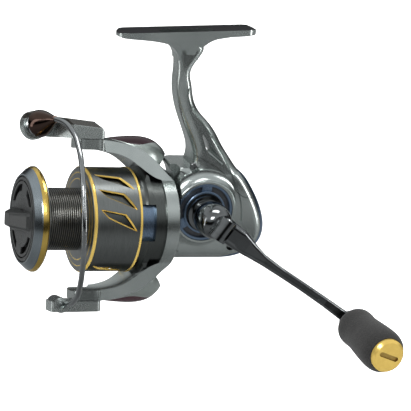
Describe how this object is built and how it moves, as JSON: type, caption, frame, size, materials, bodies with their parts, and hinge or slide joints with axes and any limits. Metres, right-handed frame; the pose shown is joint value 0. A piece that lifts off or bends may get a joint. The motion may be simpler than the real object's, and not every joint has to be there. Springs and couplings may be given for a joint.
{
  "type": "spinning fishing reel",
  "caption": "Front-drag spinning reel with a foot and stem for a rod, a geared gearbox, a rotor with a hinged bail and line roller, a sliding spool, and a folding handle.",
  "frame": {"origin": "centre of the foot's seat, level with its two long rims, where the rod rests", "axes": "+X backwards along the rod towards its butt, +Z out of the foot's seat towards the rod, -Y towards the handle's side; the main shaft lies 3.84 degrees from X"},
  "size_m": [0.1535, 0.1139, 0.1308],
  "materials": {
    "satin_silver": "satin",
    "blue_grey": "satin",
    "gunmetal": "brushed",
    "gold": "polished",
    "grey_anodised": "satin",
    "knob_dark": "gloss",
    "black_chrome": "polished",
    "bright_chrome": "polished",
    "steel": "brushed",
    "lever_silver": "satin",
    "dark_bronze": "polished",
    "dark_gloss": "gloss",
    "beige": "satin",
    "black_rubber": "matte",
    "gear_brass": "satin",
    "cast_zinc": "cast",
    "white_nylon": "satin",
    "lining": "matte",
    "foam": "matte"
  },
  "bodies": {
    "housing": {"housing": "satin_silver", "side_cover": "satin_silver", "rear_cover": "blue_grey", "cover_screws": "bright_chrome", "far_cap": "black_chrome", "near_bearing": "steel", "far_bearing": "steel", "bezel_plate": "beige", "crank_bezel": "blue_grey", "crank_seal": "black_rubber", "pinion_bearing": "steel", "roller_clutch": "steel", "guide_rod": "steel"},
    "crank": {"drive_shaft": "steel", "drive_gear": "cast_zinc", "oscillation_pinion": "white_nylon", "handle_hub": "black_chrome"},
    "oscillation": {"oscillation_gear": "white_nylon"},
    "arm": {"handle_arm": "black_chrome", "hinge_pin": "bright_chrome", "knob_spindle": "steel"},
    "grip": {"knob_bushing": "white_nylon", "knob_grip": "foam", "knob_cap": "gold"},
    "rotor": {"rotor_frame": "satin_silver", "arm_covers": "dark_gloss", "rotor_cup": "gunmetal", "balance_weight": "blue_grey", "pinion_gear": "gear_brass", "clutch_sleeve": "steel", "rotor_nut": "steel", "pivot_screws": "bright_chrome"},
    "bail": {"roller_lever": "lever_silver", "roller_pin": "steel", "bail_cone": "dark_bronze", "bail_wire": "bright_chrome", "wire_bracket": "lever_silver"},
    "roller": {"line_roller": "bright_chrome"},
    "shaft": {"main_shaft": "steel", "slider": "cast_zinc", "shaft_washer": "steel"},
    "spool": {"spool_body": "gunmetal", "spool_lip": "gold", "spool_face": "grey_anodised", "drag_washers": "lining", "drag_retainer": "steel", "line_clip": "bright_chrome"},
    "drag": {"drag_knob": "knob_dark", "knob_nut": "gear_brass"}
  },
  "joints": [
    {"name": "crank_turn", "type": "hinge", "parent": "housing", "child": "crank", "pos_m": [0.0082, -0.02, -0.07948], "axis": [0, -1, 0], "continuous": true},
    {"name": "rotor_turn", "type": "hinge", "parent": "housing", "child": "rotor", "pos_m": [-0.02481, 0, -0.08598], "axis": [-0.9978, 0, 0.067], "continuous": true},
    {"name": "oscillation_turn", "type": "hinge", "parent": "housing", "child": "oscillation", "pos_m": [0.02004, 0.006, -0.08518], "axis": [0, -1, 0], "continuous": true},
    {"name": "spool_slide", "type": "slide", "parent": "housing", "child": "shaft", "axis": [-0.9978, 0, 0.067], "range_m": [-0.001, 0.015]},
    {"name": "spool_turn", "type": "hinge", "parent": "shaft", "child": "spool", "pos_m": [-0.05475, 0, -0.08397], "axis": [-0.9978, 0, 0.067], "continuous": true},
    {"name": "drag_knob_turn", "type": "hinge", "parent": "shaft", "child": "drag", "pos_m": [-0.0747, 0, -0.08263], "axis": [-0.9978, 0, 0.067], "continuous": true},
    {"name": "bail_open", "type": "hinge", "parent": "rotor", "child": "bail", "pos_m": [-0.04277, 0, -0.08478], "axis": [-0.0647, -0.2588, -0.9638], "range_deg": [0, 105]},
    {"name": "roller_turn", "type": "hinge", "parent": "bail", "child": "roller", "pos_m": [-0.06106, 0.01522, -0.0452], "axis": [0.3172, -0.8547, 0.4108], "continuous": true},
    {"name": "handle_fold", "type": "hinge", "parent": "crank", "child": "arm", "pos_m": [0.0082, -0.0375, -0.07948], "axis": [-0.5841, 0, -0.8117], "range_deg": [-30, 0]},
    {"name": "grip_turn", "type": "hinge", "parent": "arm", "child": "grip", "pos_m": [0.06623, -0.07, -0.12124], "axis": [0, -1, 0], "continuous": true}
  ],
  "couplings": [
    {"joint": "rotor_turn", "follows": "crank_turn", "ratio": -5.125},
    {"joint": "oscillation_turn", "follows": "crank_turn", "ratio": -0.5}
  ]
}
